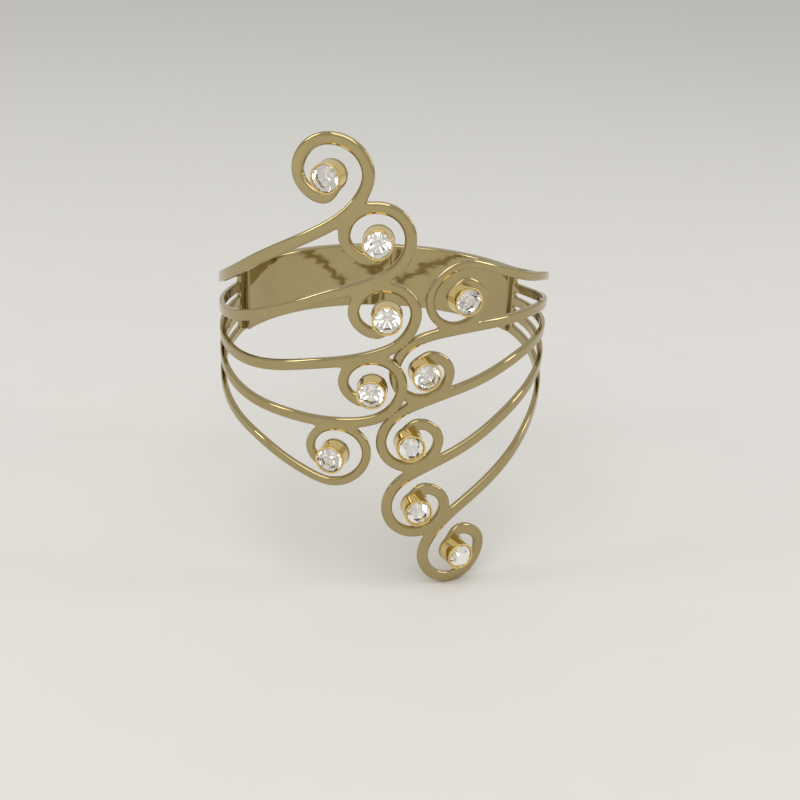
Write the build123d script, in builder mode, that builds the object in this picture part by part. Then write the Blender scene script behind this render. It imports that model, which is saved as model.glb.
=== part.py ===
from build123d import *
import math
import os

# sheet, mm
outer_radius = 37.5
sheet = 1.2
end_gap = 0.4
back_height = 16.4
grip_radius = 35.5
disc_rim = 0.13
run_in = 0.25

# bearings round the axis, degrees from the front, the left side negative
joint_bearing = -48
root_bearing = -114
grip_bearing = -116.5
back_bearing = -135
strand_bearings = (-128, -112, -95, -78, -62, -50, -38)

# stones and their cups
stone_radius = 2.65
girdle = 0.3
crown = 1.15
pavilion = 2.15
table_radius = 1.5
culet_radius = 0.3
main_radius = 2.55
star_radius = 3.9
star_inset = 0.1
facets = 8
seat_height = 2.9
seat_play = 0.02
cup_wall = 0.4
cup_rim = 0.2

# scrolls of the left half from the top: strip width, ring centre, ring radii to the right, top,
# left and foot, cup place, strand heights at the bearings, strand points on from there to the ring;
# a place is the arc length from the front and the height
scrolls = (
    (2.5, (-14.6, 42.0), (7.4, 7.05, 7.3, 4.4), (-14.5, 42.0),
     (6.4, 7.6, 9.6, 13.2, 17.7, 22.0, 26.2),
     ((-18.3, 29.8), (-12.2, 33.9), (-9.2, 37.2))),
    (2.4, (-5.2, 30.0), (6.6, 6.25, 6.6, 4.0), (-4.9, 29.75),
     (3.3, 3.4, 4.1, 5.4, 7.5, 9.9, 13.0),
     ((-17.0, 16.6), (-10.8, 19.1), (-5.2, 21.5), (-1.5, 23.8), (0.6, 26.5))),
    (2.3, (-3.3, 14.3), (6.4, 6.0, 6.3, 3.7), (-2.8, 14.4),
     (0.0, -0.2, -0.9, -1.6, -1.75, -1.0, 0.6),
     ((-17.7, 2.4), (-11.0, 3.9), (-4.5, 5.9), (-0.4, 8.0), (2.0, 10.8))),
    (2.2, (-5.3, -0.9), (6.1, 5.6, 6.1, 3.7), (-5.3, -1.65),
     (-3.3, -3.7, -5.3, -7.6, -9.3, -10.0, -10.2),
     ((-18.0, -10.3), (-11.0, -9.9), (-5.5, -8.9), (-1.8, -6.9), (0.1, -4.2))),
    (1.9, (-12.3, -16.7), (6.2, 5.8, 6.2, 3.3), (-12.9, -17.2),
     (-6.5, -7.9, -10.3, -13.6, -16.5, -18.4, -21.0),
     ((-18.5, -23.1), (-14.0, -24.0), (-10.0, -22.9), (-7.2, -20.2))),
)
ring_marks = (0, 90, 180, 262)
ring_angles = (5, 47, 92, 137, 182, 222, 256)
end_angle = 300

# sizes that follow
bore_radius = stone_radius + seat_play
cup_radius = bore_radius + cup_wall
disc_radius = cup_radius + disc_rim
pavilion_radius = stone_radius * math.cos(math.pi / facets)
rim_height = seat_height + girdle + cup_rim

# the left half stands outside the right one at the front, and the two meet at the back
lead = sheet + end_gap
halves = (("left", 0, outer_radius + lead / 2, -lead / 2), ("right", 180, outer_radius, 0))
flank_steps = 8
front_steps = 30
far = 3 * outer_radius


def arc(bearing):
    return outer_radius * math.radians(bearing)


# planes round a stone, from the radius low at the height start to the radius high a rise further on
def facet_planes(low, high, start, rise, angle):
    planes = []
    for k in range(facets):
        turn = math.radians(angle + 360 * k / facets)
        outward = Vector(math.cos(turn), math.sin(turn), 0)
        lean = Vector(0, 0, math.copysign(low - high, rise))
        planes.append(Plane(outward * low + Vector(0, 0, start), z_dir=outward * abs(rise) + lean))
    return planes


def polar(centre, radius, angle):
    turn = math.radians(angle)
    return (centre[0] + radius * math.cos(turn), centre[1] + radius * math.sin(turn))


def ring_radius(radii, angle):
    mark = max(k for k in range(3) if ring_marks[k] <= angle)
    share = (angle - ring_marks[mark]) / (ring_marks[mark + 1] - ring_marks[mark])
    return radii[mark] + share * (radii[mark + 1] - radii[mark])


def centre_line(scroll):
    width, centre, radii, cup, heights, foot = scroll
    points = [(arc(b), h) for b, h in zip(strand_bearings, heights)]
    points += list(foot)
    points += [polar(centre, ring_radius(radii, a), a) for a in ring_angles]
    points.append(polar(cup, disc_radius - run_in - width / 2, end_angle))
    return Edge.make_spline([Vector(*p) for p in points])


def edge_point(path, offset, share):
    place = path.position_at(share)
    run = path.tangent_at(share)
    return (place.X - run.Y * offset, place.Y + run.X * offset)


def joint_share(path, offset):
    low = 0
    high = 0.6
    for k in range(40):
        middle = (low + high) / 2
        if edge_point(path, offset, middle)[0] < arc(joint_bearing):
            low = middle
        else:
            high = middle
    return low


def flank_edge(path, offset, radius):
    joint = joint_share(path, offset)
    points = [edge_point(path, offset, joint * k / flank_steps) for k in range(flank_steps + 1)]
    return [(-radius * math.cos(u / outer_radius), z) for u, z in points]


def front_edge(path, offset, radius):
    joint = joint_share(path, offset)
    shares = [joint + (1 - joint) * k / front_steps for k in range(front_steps + 1)]
    points = [edge_point(path, offset, s) for s in shares]
    return [(radius * math.sin(u / outer_radius), z) for u, z in points]


# the sheet of each half: strips laid out flat, thrown onto the half's cylinder and thickened inward
sheets = []
for name, turn, radius, shift in halves:
    paths = [centre_line(s) for s in scrolls]
    with BuildSketch(Plane.XZ.offset(far)) as front:
        for scroll, path in zip(scrolls, paths):
            with BuildLine():
                upper = Spline(*front_edge(path, scroll[0] / 2, radius))
                lower = Spline(*front_edge(path, -scroll[0] / 2, radius))
                Line(upper @ 0, lower @ 0)
                Line(upper @ 1, lower @ 1)
            make_face()
            with Locations((radius * math.sin(scroll[3][0] / outer_radius), scroll[3][1])):
                Circle(disc_radius)
    with BuildSketch(Plane.YZ.offset(-far)) as flank:
        for scroll, path in zip(scrolls, paths):
            with BuildLine():
                upper = Spline(*flank_edge(path, scroll[0] / 2, radius))
                lower = Spline(*flank_edge(path, -scroll[0] / 2, radius))
                Line(upper @ 0, lower @ 0)
                Line(upper @ 1, lower @ 1)
            make_face()
        root = -radius * math.cos(math.radians(root_bearing))
        back = -radius * math.cos(math.radians(back_bearing))
        with Locations(((root + back) / 2, 0)):
            Rectangle(back - root, back_height)
    with BuildSketch(Plane.XZ.offset(-far)) as rear:
        edge = radius * math.sin(math.radians(back_bearing))
        with Locations((edge / 2, 0)):
            Rectangle(-edge, back_height)
    drum = Solid.make_cylinder(radius, 4 * outer_radius, Plane((0, 0, -2 * outer_radius)))
    for sketch, way in ((front, (0, 1, 0)), (flank, (1, 0, 0)), (rear, (0, -1, 0))):
        for face in sketch.sketch.faces():
            thrown = Solid.thicken(face.project_to_shape(drum, way)[0], -sheet)
            sheets.append(Pos(0, shift, 0) * Rot(0, turn, 0) * thrown)

# both halves with the thicker band that joins them at the back
with BuildPart() as cuff:
    with BuildSketch(Plane.XY.offset(-back_height / 2)):
        with BuildLine():
            inner = CenterArc((0, 0), grip_radius, -90 - grip_bearing, 360 + 2 * grip_bearing)
            outer = CenterArc((0, 0), outer_radius - sheet / 3, -90 - grip_bearing, 360 + 2 * grip_bearing)
            Line(inner @ 0, outer @ 0)
            Line(inner @ 1, outer @ 1)
        make_face()
    extrude(amount=back_height)
    add(sheets)
cuff.part.label = "cuff"

# a round stone, drawn with its girdle's lower edge at the plane and ground facet by facet
back_facets = facet_planes(pavilion_radius, culet_radius, 0, -pavilion, 180 / facets)
with BuildPart() as stone_shape:
    with BuildSketch(Plane.XY.offset(-pavilion)):
        RegularPolygon(stone_radius, 2 * facets)
    extrude(amount=pavilion + girdle + crown)
    for facet in facet_planes(main_radius, table_radius + star_inset, girdle, crown, 180 / facets):
        split(bisect_by=facet, keep=Keep.BOTTOM)
    for facet in facet_planes(star_radius, table_radius, girdle, crown, 0):
        split(bisect_by=facet, keep=Keep.BOTTOM)
    for facet in back_facets:
        split(bisect_by=facet, keep=Keep.BOTTOM)

# the stone's room in its cup
with BuildPart() as pocket:
    with BuildSketch(Plane.XY.offset(-pavilion)):
        RegularPolygon(bore_radius, 2 * facets)
    extrude(amount=pavilion + 2 * girdle)
    for facet in back_facets:
        split(bisect_by=facet.offset(seat_play), keep=Keep.BOTTOM)

os.makedirs("parts", exist_ok=True)
export_step(cuff.part, "parts/cuff.step")

for name, turn, radius, shift in halves:
    # a turned cup, cut inside to the stone's girdle and back, its foot hollowed to sit on the sheet
    with BuildPart() as cup_shape:
        with BuildSketch(Plane.XY.offset(-cup_wall)):
            Circle(cup_radius)
        extrude(amount=cup_wall + rim_height)
        with Locations((0, 0, seat_height)):
            add(pocket.part, mode=Mode.SUBTRACT)
        with Locations((0, 0, -radius)):
            Cylinder(radius, 4 * cup_radius, rotation=(0, 90, 0), mode=Mode.SUBTRACT)
    for number, scroll in enumerate(scrolls, 1):
        bearing = scroll[3][0] / outer_radius
        outward = Vector(math.sin(bearing), -math.cos(bearing), 0)
        seat = Plane(outward * radius + Vector(0, 0, scroll[3][1]), x_dir=(0, 0, 1), z_dir=outward)
        place = Pos(0, shift, 0) * Rot(0, turn, 0) * seat.location
        with BuildPart() as cup:
            add(place * cup_shape.part)
        cup.part.label = f"stone_cup_{name}_{number}"
        export_step(cup.part, f"parts/stone_cup_{name}_{number}.step")
        with BuildPart() as stone:
            add(place * Pos(0, 0, seat_height) * stone_shape.part)
        stone.part.label = f"stone_{name}_{number}"
        export_step(stone.part, f"parts/stone_{name}_{number}.step")
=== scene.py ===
import math

import bmesh
import bpy
import numpy as np
from mathutils import Matrix, Vector
from mathutils.geometry import delaunay_2d_cdt


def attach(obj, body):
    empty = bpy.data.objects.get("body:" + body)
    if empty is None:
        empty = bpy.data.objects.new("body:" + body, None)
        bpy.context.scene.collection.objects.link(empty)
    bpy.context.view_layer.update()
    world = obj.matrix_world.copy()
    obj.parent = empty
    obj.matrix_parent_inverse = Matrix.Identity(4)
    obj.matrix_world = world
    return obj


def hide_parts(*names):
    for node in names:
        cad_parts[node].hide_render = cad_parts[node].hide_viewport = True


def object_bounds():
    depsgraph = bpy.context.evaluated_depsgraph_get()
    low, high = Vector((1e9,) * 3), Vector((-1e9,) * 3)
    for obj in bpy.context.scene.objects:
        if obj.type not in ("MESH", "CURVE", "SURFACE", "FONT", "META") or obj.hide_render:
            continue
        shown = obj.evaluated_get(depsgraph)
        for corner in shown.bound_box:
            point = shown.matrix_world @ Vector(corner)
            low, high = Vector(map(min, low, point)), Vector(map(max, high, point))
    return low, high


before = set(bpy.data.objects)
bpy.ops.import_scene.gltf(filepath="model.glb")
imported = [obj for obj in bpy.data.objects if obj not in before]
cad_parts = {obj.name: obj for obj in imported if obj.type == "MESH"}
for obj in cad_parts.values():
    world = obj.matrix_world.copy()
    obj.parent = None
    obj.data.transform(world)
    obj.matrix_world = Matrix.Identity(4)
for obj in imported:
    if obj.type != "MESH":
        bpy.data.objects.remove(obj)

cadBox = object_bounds()
mm = 0.001
print("frame loaded:", len(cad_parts), "nodes")


# the cuff's layout, mm and degrees; a place is the arc length from the front and the height
cuffSheet = {
    "outerRadius": 37.5,
    "sheet": 1.2,
    "lead": 1.6,              # the left end stands this far outside the right one in front
    "bandHalf": 8.2,          # half the height of the plain band at the back
    "rootBearing": -114,      # where the strands leave that band
    "strandBearings": (-128, -112, -95, -78, -62, -50, -38),
    "ringMarks": (0, 90, 180, 262),
    "ringAngles": (5, 47, 92, 137, 182, 222, 256),
    "endAngle": 300,
    "discRadius": 3.2,
    "runIn": 0.25,
    "frontRound": (0.75, 0.5),   # rounding of the edges that show: across and deep
    "backRound": (0.25, 0.25),
    "roundSteps": (7, 3),
    "roundEase": ((24, 1.0), (42, 0.62)),   # its share by the bearing, from the scrolls to the strands
    "webBlend": 0.5,          # fills the crotches between strips
    "cell": 0.2,              # grid of the distance field
    "layReach": (126, 53),    # half the length and height that the grid covers
    "farOff": 9.0,            # distance written where no strip is near
    "lineStep": 0.1,          # between points of a strip's middle line
    "run": 0.7,               # longest step along an outline
    "turn": 6,                # largest turn between two points of it
    "fewest": 16,             # points of the smallest outline
    "inner": 1.2,             # spacing of the points inside broad flats
    "innerInset": 1.5,        # how far they keep from the edge
    "weld": 1e-6,
}

# the five scrolls of the left half from the top; the right half is the same, turned half round
scrolls = (
    {"width": 2.5, "centre": (-14.6, 42.0), "radii": (7.4, 7.05, 7.3, 4.4), "cup": (-14.5, 42.0),
     "heights": (6.4, 7.6, 9.6, 13.2, 17.7, 22.0, 26.2),
     "foot": ((-18.3, 29.8), (-12.2, 33.9), (-9.2, 37.2))},
    {"width": 2.4, "centre": (-5.2, 30.0), "radii": (6.6, 6.25, 6.6, 4.0), "cup": (-4.9, 29.75),
     "heights": (3.3, 3.4, 4.1, 5.4, 7.5, 9.9, 13.0),
     "foot": ((-17.0, 16.6), (-10.8, 19.1), (-5.2, 21.5), (-1.5, 23.8), (0.6, 26.5))},
    {"width": 2.3, "centre": (-3.3, 14.3), "radii": (6.4, 6.0, 6.3, 3.7), "cup": (-2.8, 14.4),
     "heights": (0.0, -0.2, -0.9, -1.6, -1.75, -1.0, 0.6),
     "foot": ((-17.7, 2.4), (-11.0, 3.9), (-4.5, 5.9), (-0.4, 8.0), (2.0, 10.8))},
    {"width": 2.2, "centre": (-5.3, -0.9), "radii": (6.1, 5.6, 6.1, 3.7), "cup": (-5.3, -1.65),
     "heights": (-3.3, -3.7, -5.3, -7.6, -9.3, -10.0, -10.2),
     "foot": ((-18.0, -10.3), (-11.0, -9.9), (-5.5, -8.9), (-1.8, -6.9), (0.1, -4.2))},
    {"width": 1.9, "centre": (-12.3, -16.7), "radii": (6.2, 5.8, 6.2, 3.3), "cup": (-12.9, -17.2),
     "heights": (-6.5, -7.9, -10.3, -13.6, -16.5, -18.4, -21.0),
     "foot": ((-18.5, -23.1), (-14.0, -24.0), (-10.0, -22.9), (-7.2, -20.2))},
)


def arcAt(bearing):
    return cuffSheet["outerRadius"] * math.radians(bearing)


def onRing(centre, radius, angle):
    turn = math.radians(angle)
    return (centre[0] + radius * math.cos(turn), centre[1] + radius * math.sin(turn))


def scrollPoints(scroll):
    points = [(arcAt(b), h) for b, h in zip(cuffSheet["strandBearings"], scroll["heights"])]
    points += list(scroll["foot"])
    radii = np.interp(cuffSheet["ringAngles"], cuffSheet["ringMarks"], scroll["radii"])
    points += [onRing(scroll["centre"], r, a) for r, a in zip(radii, cuffSheet["ringAngles"])]
    tip = cuffSheet["discRadius"] - cuffSheet["runIn"] - scroll["width"] / 2
    return points + [onRing(scroll["cup"], tip, cuffSheet["endAngle"])]


# a smooth line through the points, as a natural cubic spline by chord length
def smoothLine(points, step):
    p = np.array(points, float)
    knots = np.concatenate([[0], np.cumsum(np.linalg.norm(np.diff(p, axis=0), axis=1))])
    gap = np.diff(knots)[:, None]
    count = len(p)
    rows = np.eye(count)
    right = np.zeros((count, 2))
    slope = np.diff(p, axis=0) / gap
    for k in range(1, count - 1):
        rows[k, k - 1:k + 2] = gap[k - 1, 0], 2 * (gap[k - 1, 0] + gap[k, 0]), gap[k, 0]
        right[k] = 6 * (slope[k] - slope[k - 1])
    bend = np.linalg.solve(rows, right)
    at = np.arange(0, knots[-1], step)
    k = np.clip(np.searchsorted(knots, at, side="right") - 1, 0, count - 2)
    h = gap[k]
    a = (knots[k + 1] - at)[:, None]
    b = (at - knots[k])[:, None]
    curve = (bend[k] * a ** 3 + bend[k + 1] * b ** 3) / (6 * h)
    return curve + (p[k] / h - bend[k] * h / 6) * a + (p[k + 1] / h - bend[k + 1] * h / 6) * b


# the grid lies over the whole unrolled cuff, with the middle of the back at its centre
cell = cuffSheet["cell"]
backPlace = arcAt(-180)
gridReach = [math.ceil(reach / cell) for reach in cuffSheet["layReach"]]
alongAxis = backPlace + cell * np.arange(-gridReach[0], gridReach[0] + 1)
upAxis = cell * np.arange(-gridReach[1], gridReach[1] + 1)
gridStart = np.array([alongAxis[0], upAxis[0]])


# distance to a strip's edge, negative in the metal
def stripField(line, halfWidth, reach=3.0, stretch=12):
    field = np.full((len(alongAxis), len(upAxis)), cuffSheet["farOff"])
    for start in range(0, len(line), stretch):
        piece = line[start:start + stretch + 1]
        low = ((piece.min(axis=0) - reach - gridStart) / cell).astype(int)
        high = ((piece.max(axis=0) + reach - gridStart) / cell).astype(int) + 2
        i = slice(max(low[0], 0), high[0])
        j = slice(max(low[1], 0), high[1])
        du = alongAxis[i, None, None] - piece[:, 0]
        dz = upAxis[None, j, None] - piece[:, 1]
        near = np.sqrt((du ** 2 + dz ** 2).min(axis=2)) - halfWidth
        field[i, j] = np.minimum(field[i, j], near)
    return field


# the smaller of two distances, with the crotch between them filled
def blended(a, b):
    k = cuffSheet["webBlend"]
    return np.minimum(a, b) - np.maximum(k - np.abs(a - b), 0) ** 2 / (4 * k)


def cuffField():
    field = None
    for scroll in scrolls:
        line = smoothLine(scrollPoints(scroll), cuffSheet["lineStep"])
        strip = stripField(line, scroll["width"] / 2)
        du = alongAxis[:, None] - scroll["cup"][0]
        dz = upAxis[None, :] - scroll["cup"][1]
        strip = blended(strip, np.hypot(du, dz) - cuffSheet["discRadius"])
        field = strip if field is None else blended(field, strip)
    away = np.abs(alongAxis[:, None] - backPlace) - (arcAt(cuffSheet["rootBearing"]) - backPlace)
    band = np.maximum(away, np.abs(upAxis[None, :]) - cuffSheet["bandHalf"])
    both = np.minimum(field, field[::-1, ::-1])
    return blended(both, band)


# a few light passes take the kink out of the field where a strip turns back on itself
def smoothed(field, passes=4):
    for _ in range(passes):
        for axis in (0, 1):
            field = (np.roll(field, 1, axis) + 2 * field + np.roll(field, -1, axis)) / 4
    return field


metalField = smoothed(cuffField())
fieldSlope = np.gradient(metalField, cell)


def sampled(field, points):
    at = (points - gridStart) / cell
    base = np.clip(at.astype(int), 0, np.array(field.shape) - 2)
    a, b = (at - base).T
    i, j = base.T
    near = field[i, j] * (1 - b) + field[i, j + 1] * b
    far = field[i + 1, j] * (1 - b) + field[i + 1, j + 1] * b
    return near * (1 - a) + far * a


def outwardAt(points):
    way = np.stack([sampled(slope, points) for slope in fieldSlope], axis=1)
    return way / np.linalg.norm(way, axis=1, keepdims=True)


# closed outlines of the metal, each walked with the metal on its left
def metalOutlines():
    inside = metalField < 0
    count = inside[:-1, :-1].astype(int) + inside[1:, :-1] + inside[1:, 1:] + inside[:-1, 1:]
    follow = {}
    for i, j in np.argwhere((count > 0) & (count < 4)).tolist():
        corners = (inside[i, j], inside[i + 1, j], inside[i + 1, j + 1], inside[i, j + 1])
        sides = ((i, j, 0), (i + 1, j, 1), (i, j + 1, 0), (i, j, 1))
        for k in range(4):
            if corners[k] and not corners[(k + 1) % 4]:
                m = k + 1
                while corners[m % 4] or not corners[(m + 1) % 4]:
                    m += 1
                follow[sides[k]] = sides[m % 4]
    loops = []
    while follow:
        first, side = follow.popitem()
        walk = [first]
        while side != first:
            walk.append(side)
            side = follow.pop(side)
        spots = np.array(walk)
        across = np.stack([spots[:, 2] == 0, spots[:, 2] == 1], axis=1).astype(int)
        near = metalField[spots[:, 0], spots[:, 1]]
        far = metalField[spots[:, 0] + across[:, 0], spots[:, 1] + across[:, 1]]
        share = (near / (near - far))[:, None]
        loops.append(gridStart + cell * (spots[:, :2] + share * across))
    return loops


# points along an outline, closer together where it turns
def spacedOutline(loop):
    closed = np.vstack([loop, loop[:1]])
    way = outwardAt(closed)
    turn = np.arccos(np.clip((way[1:] * way[:-1]).sum(axis=1), -1, 1))
    run = np.linalg.norm(np.diff(closed, axis=0), axis=1)
    gauge = run / cuffSheet["run"] + turn / math.radians(cuffSheet["turn"])
    gauge = np.concatenate([[0], np.cumsum(gauge)])
    count = max(cuffSheet["fewest"], int(gauge[-1]))
    at = np.arange(count) * gauge[-1] / count
    points = np.stack([np.interp(at, gauge, closed[:, k]) for k in (0, 1)], axis=1)
    return points - sampled(metalField, points)[:, None] * outwardAt(points)


# an unrolled place at a depth under the outside, put on the half it belongs to
def onCuff(places, depth):
    bearing = places[:, 0] / cuffSheet["outerRadius"]
    lift = np.where(places[:, 0] > backPlace, cuffSheet["lead"] / 2, 0)
    radius = cuffSheet["outerRadius"] + lift - depth
    return np.stack([radius * np.sin(bearing), -lift - radius * np.cos(bearing), places[:, 1]], axis=1)


def cuffNormals(places, way, side, up):
    bearing = places[:, 0] / cuffSheet["outerRadius"]
    flat = np.zeros_like(bearing)
    along = np.stack([np.cos(bearing), np.sin(bearing), flat], axis=1)
    outward = np.stack([np.sin(bearing), -np.cos(bearing), flat], axis=1)
    upward = np.stack([flat, flat, flat + 1], axis=1)
    return side * (way[:, :1] * along + way[:, 1:] * upward) + up * outward


# the rounded section of the sheet's edge: inset, depth and the normal's two shares
def edgeSection():
    section = []
    for k in range(cuffSheet["roundSteps"][0] + 1):
        section.append(roundedCorner(cuffSheet["frontRound"], 1 - k / cuffSheet["roundSteps"][0]))
    for k in range(cuffSheet["roundSteps"][1] + 1):
        inset, depth, side, up = roundedCorner(cuffSheet["backRound"], k / cuffSheet["roundSteps"][1])
        section.append((inset, cuffSheet["sheet"] - depth, side, -up))
    return section


# a quarter of an ellipse, from the side wall at share 0 to the flat at share 1
def roundedCorner(size, share):
    turn = math.pi / 2 * share
    across, deep = size
    slope = (math.cos(turn) / across, math.sin(turn) / deep)
    length = math.hypot(*slope)
    return across * (1 - math.cos(turn)), deep * (1 - math.sin(turn)), slope[0] / length, slope[1] / length


def meshPiece(name, points, faces, normals, material):
    mesh = bpy.data.meshes.new(name)
    mesh.from_pydata((np.asarray(points) * mm).tolist(), [], faces)
    mesh.polygons.foreach_set("use_smooth", [True] * len(mesh.polygons))
    mesh.validate()
    if normals is not None:
        mesh.normals_split_custom_set_from_vertices(np.asarray(normals).tolist())
    mesh.materials.append(material)
    piece = bpy.data.objects.new(name, mesh)
    bpy.context.scene.collection.objects.link(piece)
    return piece


# triangles reached from the inner points without crossing the fence
def fencedIn(triangles, fence, isInner):
    sides = [[frozenset((t[k], t[k - 1])) for k in range(3)] for t in triangles.tolist()]
    owners = {}
    for number, three in enumerate(sides):
        for side in three:
            owners.setdefault(side, []).append(number)
    reached = isInner[triangles].any(axis=1)
    front = np.flatnonzero(reached).tolist()
    while front:
        for side in sides[front.pop()]:
            for number in owners[side]:
                if side not in fence and not reached[number]:
                    reached[number] = True
                    front.append(number)
    return triangles[reached]


def cuffPiece(material):
    loops = [spacedOutline(loop) for loop in metalOutlines()]
    edge = np.vstack(loops)
    way = outwardAt(edge)
    follow = np.concatenate([np.roll(np.arange(len(l)), -1) + s for l, s in
                             zip(loops, np.cumsum([0] + [len(l) for l in loops[:-1]]))])
    count = len(edge)

    section = edgeSection()
    points = []
    normals = []
    faces = []
    here = np.arange(count)
    bearing = np.degrees(np.abs(edge[:, 0] - backPlace) / cuffSheet["outerRadius"])
    share = np.interp(180 - bearing, *zip(*cuffSheet["roundEase"]))
    for k, (inset, depth, side, up) in enumerate(section):
        eased = share if k <= cuffSheet["roundSteps"][0] else np.ones(count)
        ring = edge - inset * eased[:, None] * way
        points.append(onCuff(ring, depth * eased))
        normals.append(cuffNormals(edge, way, side, up))
        if k:
            above, below = (k - 1) * count, k * count
            faces += np.stack([here + above, here + below, follow + below, follow + above], axis=1).tolist()

    # broad flats get points inside, so that they follow the cylinder
    gap = cuffSheet["inner"]
    mesh = np.meshgrid(np.arange(alongAxis[0], alongAxis[-1], gap), np.arange(upAxis[0], upAxis[-1], gap))
    spread = np.stack([axis.ravel() for axis in mesh], axis=1)
    spread = spread[sampled(metalField, spread) < -cuffSheet["innerInset"]]
    rim = edge - section[0][0] * share[:, None] * way
    flat = [Vector(p) for p in np.vstack([rim, spread])]
    edges = np.stack([here, follow], axis=1).tolist()
    _, sides, triangles, origins, laid, _ = delaunay_2d_cdt(flat, edges, [], 0, cuffSheet["weld"])
    first = np.array([o[0] for o in origins])
    fence = {frozenset(side) for side, source in zip(sides, laid) if source}
    triangles = first[fencedIn(np.array(triangles), fence, first >= count)]

    outside = len(section) * count
    upward = np.zeros_like(spread)
    points.append(onCuff(spread, 0))
    normals.append(cuffNormals(spread, upward, 0, 1))
    points.append(onCuff(spread, cuffSheet["sheet"]))
    normals.append(cuffNormals(spread, upward, 0, -1))
    isRim = triangles < count
    faces += np.where(isRim, triangles, triangles - count + outside).tolist()
    under = np.where(isRim, triangles + outside - count, triangles - count + outside + len(spread))
    faces += under[:, ::-1].tolist()
    print("cuff:", len(loops), "outlines,", count, "edge points,", len(faces), "faces")
    return meshPiece("cuffSheet", np.vstack(points), faces, np.vstack(normals), material)


# the thicker band at the back: a rounded section carried round the axis
backBand = {
    "gripRadius": 35.5,
    "outerRadius": 36.9,
    "bearing": 116.5,
    "half": 8.2,
    "round": 0.4,
    "cornerSteps": 4,
    "steps": 72,
}


def backBandPiece(material):
    b = backBand
    section = []
    for cu, cz, start in ((-1, -1, 180), (1, -1, 270), (1, 1, 0), (-1, 1, 90)):
        middle = (b["gripRadius"] + b["outerRadius"]) / 2
        halfDeep = (b["outerRadius"] - b["gripRadius"]) / 2
        for k in range(b["cornerSteps"] + 1):
            turn = math.radians(start + 90 * k / b["cornerSteps"])
            place = (middle + cu * (halfDeep - b["round"]), cz * (b["half"] - b["round"]))
            section.append((place[0] + b["round"] * math.cos(turn), place[1] + b["round"] * math.sin(turn),
                            math.cos(turn), math.sin(turn)))
    points = []
    normals = []
    faces = []
    size = len(section)
    for k in range(b["steps"] + 1):
        bearing = math.radians(b["bearing"] + (360 - 2 * b["bearing"]) * k / b["steps"])
        out = np.array([math.sin(bearing), -math.cos(bearing), 0])
        for radius, height, side, up in section:
            points.append(out * radius + (0, 0, height))
            normals.append(out * side + (0, 0, up))
        if k:
            for m in range(size):
                n = (m + 1) % size
                faces.append(((k - 1) * size + m, k * size + m, k * size + n, (k - 1) * size + n))
    faces.append(list(range(size)))
    faces.append([b["steps"] * size + m for m in reversed(range(size))])
    return meshPiece("backBand", points, faces, normals, material)


# stone cups: a turned profile from the middle of the seat over the rim to the foot, radius and height
stoneCup = {
    "profile": ((0.0, 0.62), (0.34, 0.62), (2.66, 2.86), (2.68, 3.12), (2.7, 3.34), (2.74, 3.39),
                (2.78, 3.4), (2.97, 3.4), (3.01, 3.39), (3.05, 3.36), (3.07, 3.3), (3.07, 3.0),
                (3.07, 2.0), (3.07, 1.0), (3.07, 0.4), (3.08, 0.15), (3.1, -0.08), (3.14, -0.3),
                (0.0, -0.3)),
    "turns": 64,
}


def cupFrame(side, scroll):
    bearing = scroll["cup"][0] / cuffSheet["outerRadius"]
    lift = cuffSheet["lead"] / 2 if side == "left" else 0
    radius = cuffSheet["outerRadius"] + lift
    outward = Vector((math.sin(bearing), -math.cos(bearing), 0))
    place = outward * radius + Vector((0, -lift, scroll["cup"][1]))
    if side == "right":
        place = Vector((-place.x, place.y, -place.z))
        outward = Vector((-outward.x, outward.y, 0))
    upward = Vector((0, 0, 1))
    across = upward.cross(outward)
    frameMatrix = Matrix((across, upward, outward)).transposed().to_4x4()
    frameMatrix.translation = place
    return frameMatrix


def turnedCup(name, place, material):
    profile = stoneCup["profile"]
    turns = stoneCup["turns"]
    points = [place @ Vector((0, 0, profile[0][1])), place @ Vector((0, 0, profile[-1][1]))]
    for radius, height in profile[1:-1]:
        for k in range(turns):
            turn = 2 * math.pi * k / turns
            points.append(place @ Vector((radius * math.cos(turn), radius * math.sin(turn), height)))
    faces = []
    rows = len(profile) - 2
    for row in range(rows - 1):
        for k in range(turns):
            n = (k + 1) % turns
            low, high = 2 + row * turns, 2 + (row + 1) * turns
            faces.append((low + k, high + k, high + n, low + n))
    for k in range(turns):
        n = (k + 1) % turns
        faces.append((0, 2 + k, 2 + n))
        faces.append((1, 2 + (rows - 1) * turns + n, 2 + (rows - 1) * turns + k))
    return meshPiece(name, [tuple(p) for p in points], faces, None, material)


# stones: rings of corners, each a height, a radius, a count and a turn; their hull gives the facets
cutStone = {
    "rings": ((4.35, 1.55, 8, 0), (3.2, 2.65, 16, 0), (2.95, 2.65, 8, 0), (0.78, 0.28, 8, 0)),
    "foilBelow": 2.8,
    "turns": (14, 28, 27, 0, 0),   # how far round each stone of an end is set
    "flatWithin": 1,               # hull faces this near to level are one facet, degrees
}


def facetedStone(name, place, glass, foil):
    body = bmesh.new()
    for height, radius, corners, start in cutStone["rings"]:
        for k in range(corners):
            turn = math.radians(start + 360 * k / corners)
            body.verts.new((radius * math.cos(turn), radius * math.sin(turn), height))
    bmesh.ops.convex_hull(body, input=body.verts)
    bmesh.ops.dissolve_limit(body, angle_limit=math.radians(cutStone["flatWithin"]),
                           verts=body.verts, edges=body.edges)
    for face in body.faces:
        face.material_index = 1 if face.calc_center_median().z < cutStone["foilBelow"] else 0
        face.smooth = False
    body.transform(Matrix.Scale(mm, 4) @ place)
    bmesh.ops.recalc_face_normals(body, faces=body.faces)
    mesh = bpy.data.meshes.new(name)
    body.to_mesh(mesh)
    body.free()
    mesh.materials.append(glass)
    mesh.materials.append(foil)
    piece = bpy.data.objects.new(name, mesh)
    bpy.context.scene.collection.objects.link(piece)
    return piece


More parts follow.
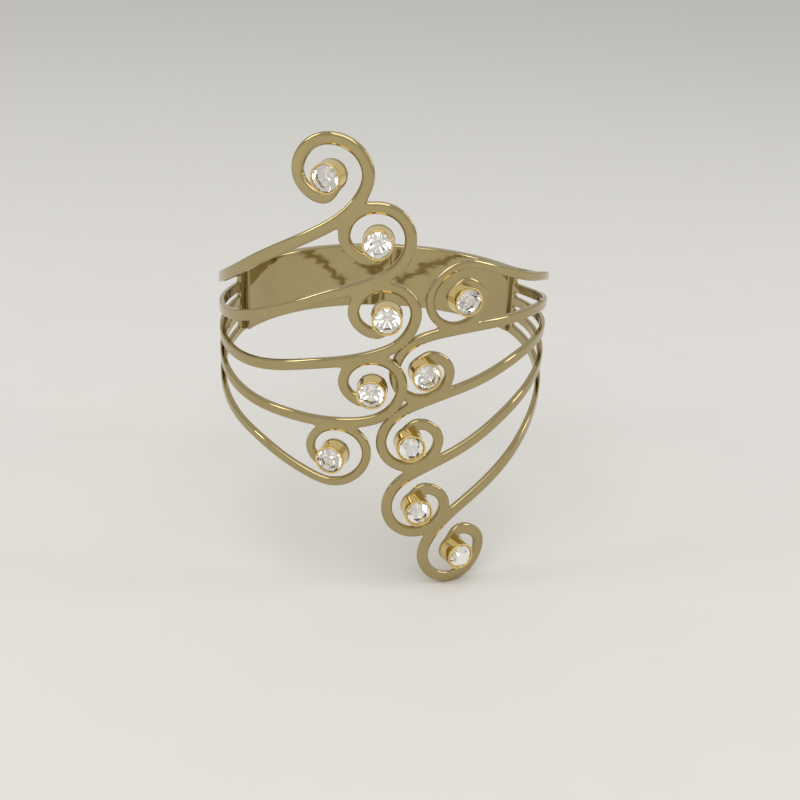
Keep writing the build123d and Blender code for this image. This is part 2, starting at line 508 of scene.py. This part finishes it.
# shader values as expressions: each operator adds a Math node
class Wire:
    def __init__(self, tree, socket):
        self.tree = tree
        self.socket = socket

    def math(self, operation, first, second):
        node = self.tree.nodes.new("ShaderNodeMath")
        node.operation = operation
        for slot, value in zip(node.inputs, (first, second)):
            if isinstance(value, Wire):
                self.tree.links.new(value.socket, slot)
            else:
                slot.default_value = value
        return Wire(self.tree, node.outputs[0])

    def __add__(self, other):
        return self.math("ADD", self, other)

    def __radd__(self, other):
        return self.math("ADD", other, self)

    def __mul__(self, other):
        return self.math("MULTIPLY", self, other)

    def __rmul__(self, other):
        return self.math("MULTIPLY", other, self)


noiseRoughness = 0.55


class Finish:
    def __init__(self, name, tree=None):
        if tree is None:
            self.material = bpy.data.materials.new(name)
            self.material.use_nodes = True
            tree = self.material.node_tree
        self.tree = tree
        tree.nodes.clear()

    # a node of any kind: settings first, then values or links of its sockets
    def node(self, kind, settings=None, output=None, **sockets):
        node = self.tree.nodes.new(kind)
        for key, value in (settings or {}).items():
            setattr(node, key, value)
        slots = {slot.identifier.replace(" ", "_"): slot for slot in node.inputs}
        for key, value in sockets.items():
            if isinstance(value, Wire):
                self.tree.links.new(value.socket, slots[key])
            else:
                slots[key].default_value = value
        outs = {slot.identifier: slot for slot in node.outputs}
        if not outs:
            return None
        return Wire(self.tree, outs[output] if output else node.outputs[0])

    def noise(self, scale, detail):
        place = self.node("ShaderNodeTexCoord", output="Object")
        return self.node("ShaderNodeTexNoise", Vector=place, Scale=scale, Detail=detail,
                         Roughness=noiseRoughness)

    def mixed(self, share, first, second):
        return self.node("ShaderNodeMix", {"data_type": "RGBA"}, "Result_Color", Factor_Float=share,
                         A_Color=(*first, 1), B_Color=(*second, 1))

    def surface(self, shader):
        self.node("ShaderNodeOutputMaterial", Surface=shader)
        return self.material


# the plating's gold is deeper than plain gold: partly the plating's own tone, partly painted shade standing
# in for the dark room its flats mirror
goldPlatePaintedShade = {
    "pale": (0.475, 0.39, 0.2),
    "deep": (0.39, 0.315, 0.155),
    "gloss": 0.05,
    "haze": 0.05,
    "wave": 0.15,
}
# the cups' gold is brighter and warmer than the plating's: painted light standing in for the bright
# surroundings their walls mirror
cupGoldPaintedLight = {
    "pale": (0.82, 0.63, 0.27),
    "deep": (0.7, 0.51, 0.18),
    "gloss": 0.06,
    "haze": 0.06,
    "wave": 0.06,
}
platingGrain = {              # scale and detail of each noise
    "patches": (150, 3),
    "haze": (700, 4),
    "marks": (4200, 2),
    "ripple": (380, 0.5),
    "markShare": 0.008,
    "depth": 0.0002,
}


# polished plating: a little haze in patches, fine polishing marks and a slow change of tint
def platedGold(name, look):
    f = Finish(name)
    patches = f.noise(*platingGrain["patches"])
    haze = f.noise(*platingGrain["haze"])
    tint = f.mixed(patches, look["pale"], look["deep"])
    marks = f.noise(*platingGrain["marks"])
    ripple = f.noise(*platingGrain["ripple"])
    bump = f.node("ShaderNodeBump", Strength=look["wave"], Distance=platingGrain["depth"],
                  Height=ripple + platingGrain["markShare"] * marks)
    return f.surface(f.node("ShaderNodeBsdfPrincipled", Base_Color=tint, Metallic=1.0,
                            Roughness=look["gloss"] + look["haze"] * haze * patches, Normal=bump))


# clear glass with foil behind it
clearStone = {
    "tint": (1.0, 0.99, 0.975),
    "index": 1.56,
    "cloud": (1500, 2),
    "cloudShare": 0.012,
    "foil": (0.96, 0.95, 0.93),
    "foilShade": 0.9,
    "foilGrain": (1800, 2),
    "foilGloss": 0.02,
    "foilHaze": 0.03,
}


def shaded(colour, share):
    return tuple(share * c for c in colour)


def stoneGlass():
    f = Finish("stoneGlass")
    haze = f.noise(*clearStone["cloud"])
    return f.surface(f.node("ShaderNodeBsdfPrincipled", Base_Color=(*clearStone["tint"], 1),
                            Roughness=clearStone["cloudShare"] * haze, IOR=clearStone["index"],
                            Transmission_Weight=1.0))


def stoneFoil():
    f = Finish("stoneFoil")
    haze = f.noise(*clearStone["foilGrain"])
    tint = f.mixed(haze, clearStone["foil"], shaded(clearStone["foil"], clearStone["foilShade"]))
    return f.surface(f.node("ShaderNodeBsdfPrincipled", Base_Color=tint, Metallic=1.0,
                            Roughness=clearStone["foilGloss"] + clearStone["foilHaze"] * haze))


# the plating's material carries that painted shade in its base colour
gold = platedGold("goldPlatePaintedShade", goldPlatePaintedShade)
# the cups' material carries that painted light in its base colour
paintedLightCupGold = platedGold("cupGoldPaintedLight", cupGoldPaintedLight)
glass = stoneGlass()
foil = stoneFoil()

cuff = cuffPiece(gold)
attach(cuff, "root")
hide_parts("cuff")

band = backBandPiece(gold)
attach(band, "root")
print("cuff and back band made")

for side in ("left", "right"):
    for number, scroll in enumerate(scrolls, 1):
        place = cupFrame(side, scroll)
        cup = turnedCup(f"stoneCup_{side}_{number}", place, paintedLightCupGold)
        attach(cup, "root")
        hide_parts(f"stone_cup_{side}_{number}")
        setting = place @ Matrix.Rotation(math.radians(cutStone["turns"][number - 1]), 4, "Z")
        stone = facetedStone(f"stone_{side}_{number}_cut", setting, glass, foil)
        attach(stone, "root")
        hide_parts(f"stone_{side}_{number}")
print("cups and stones made")


# the studio: a plain pale floor, a pale world and soft lamps, metres and watts
studio = {
    "floorColour": (0.73, 0.725, 0.71),
    "floorReach": 3.0,
    "floorRoughness": 0.9,
    "fleck": (60, 4),
    "fleckShade": 0.97,
    "world": (1.0, 0.985, 0.955),
    "worldLevel": 0.64,
    "lamps": (   # name, place, width, depth, watts, colour
        ("topLamp", (-0.2, -0.7, 1.1), 1.1, 1.3, 7.8, (1.0, 0.98, 0.94)),
        ("leftLamp", (-0.7, -0.15, 0.35), 0.15, 0.4, 0.9, (1.0, 0.97, 0.92)),
        ("rightLamp", (0.7, -0.1, 0.35), 0.15, 0.4, 0.9, (1.0, 0.97, 0.92)),
    ),
}


def floorPaper():
    f = Finish("floorPaper")
    fleck = f.noise(*studio["fleck"])
    tint = f.mixed(fleck, studio["floorColour"], shaded(studio["floorColour"], studio["fleckShade"]))
    return f.surface(f.node("ShaderNodeBsdfPrincipled", Base_Color=tint,
                            Roughness=studio["floorRoughness"]))


# a square sheet under the lowest point of the part
def studioFloor():
    reach = studio["floorReach"]
    level = cadBox[0].z
    corners = [(x * reach, y * reach, level) for x, y in ((-1, -1), (1, -1), (1, 1), (-1, 1))]
    mesh = bpy.data.meshes.new("studioFloor")
    mesh.from_pydata(corners, [], [(0, 1, 2, 3)])
    mesh.materials.append(floorPaper())
    floor = bpy.data.objects.new("studioFloor", mesh)
    bpy.context.scene.collection.objects.link(floor)


studioFloor()

world = bpy.data.worlds.new("studioWorld")
world.use_nodes = True
w = Finish("studioWorld", world.node_tree)
back = w.node("ShaderNodeBackground", Color=(*studio["world"], 1), Strength=studio["worldLevel"])
w.node("ShaderNodeOutputWorld", Surface=back)
bpy.context.scene.world = world

for name, place, width, depth, watts, colour in studio["lamps"]:
    lamp = bpy.data.lights.new(name, "AREA")
    lamp.shape = "RECTANGLE"
    lamp.size = width
    lamp.size_y = depth
    lamp.energy = watts
    lamp.color = colour
    light = bpy.data.objects.new(name, lamp)
    light.location = place
    light.rotation_euler = (-Vector(place)).to_track_quat("-Z", "Y").to_euler()
    bpy.context.scene.collection.objects.link(light)


# camera at the photograph's place: mm and degrees
photoView = {
    "place": (-22.87, -264.72, 92.18),
    "yaw": 5.894,
    "pitch": -22.942,
    "roll": 2.296,
    "lens": 53.646,
    "sensor": 36.0,
    "clipStart": 10,
}
eye = bpy.data.cameras.new("photoCamera")
eye.lens = photoView["lens"]
eye.sensor_width = photoView["sensor"]
eye.clip_start = photoView["clipStart"] * mm
camera = bpy.data.objects.new("photoCamera", eye)
yaw, pitch, roll = (math.radians(photoView[k]) for k in ("yaw", "pitch", "roll"))
aimed = Matrix.Rotation(-yaw, 4, "Z") @ Matrix.Rotation(math.pi / 2 + pitch, 4, "X")
turned = aimed @ Matrix.Rotation(roll, 4, "Z")
camera.matrix_world = Matrix.Translation(Vector(photoView["place"]) * mm) @ turned
bpy.context.scene.collection.objects.link(camera)
bpy.context.scene.camera = camera
bpy.context.scene.view_settings.view_transform = "Standard"
print("studio and camera set")
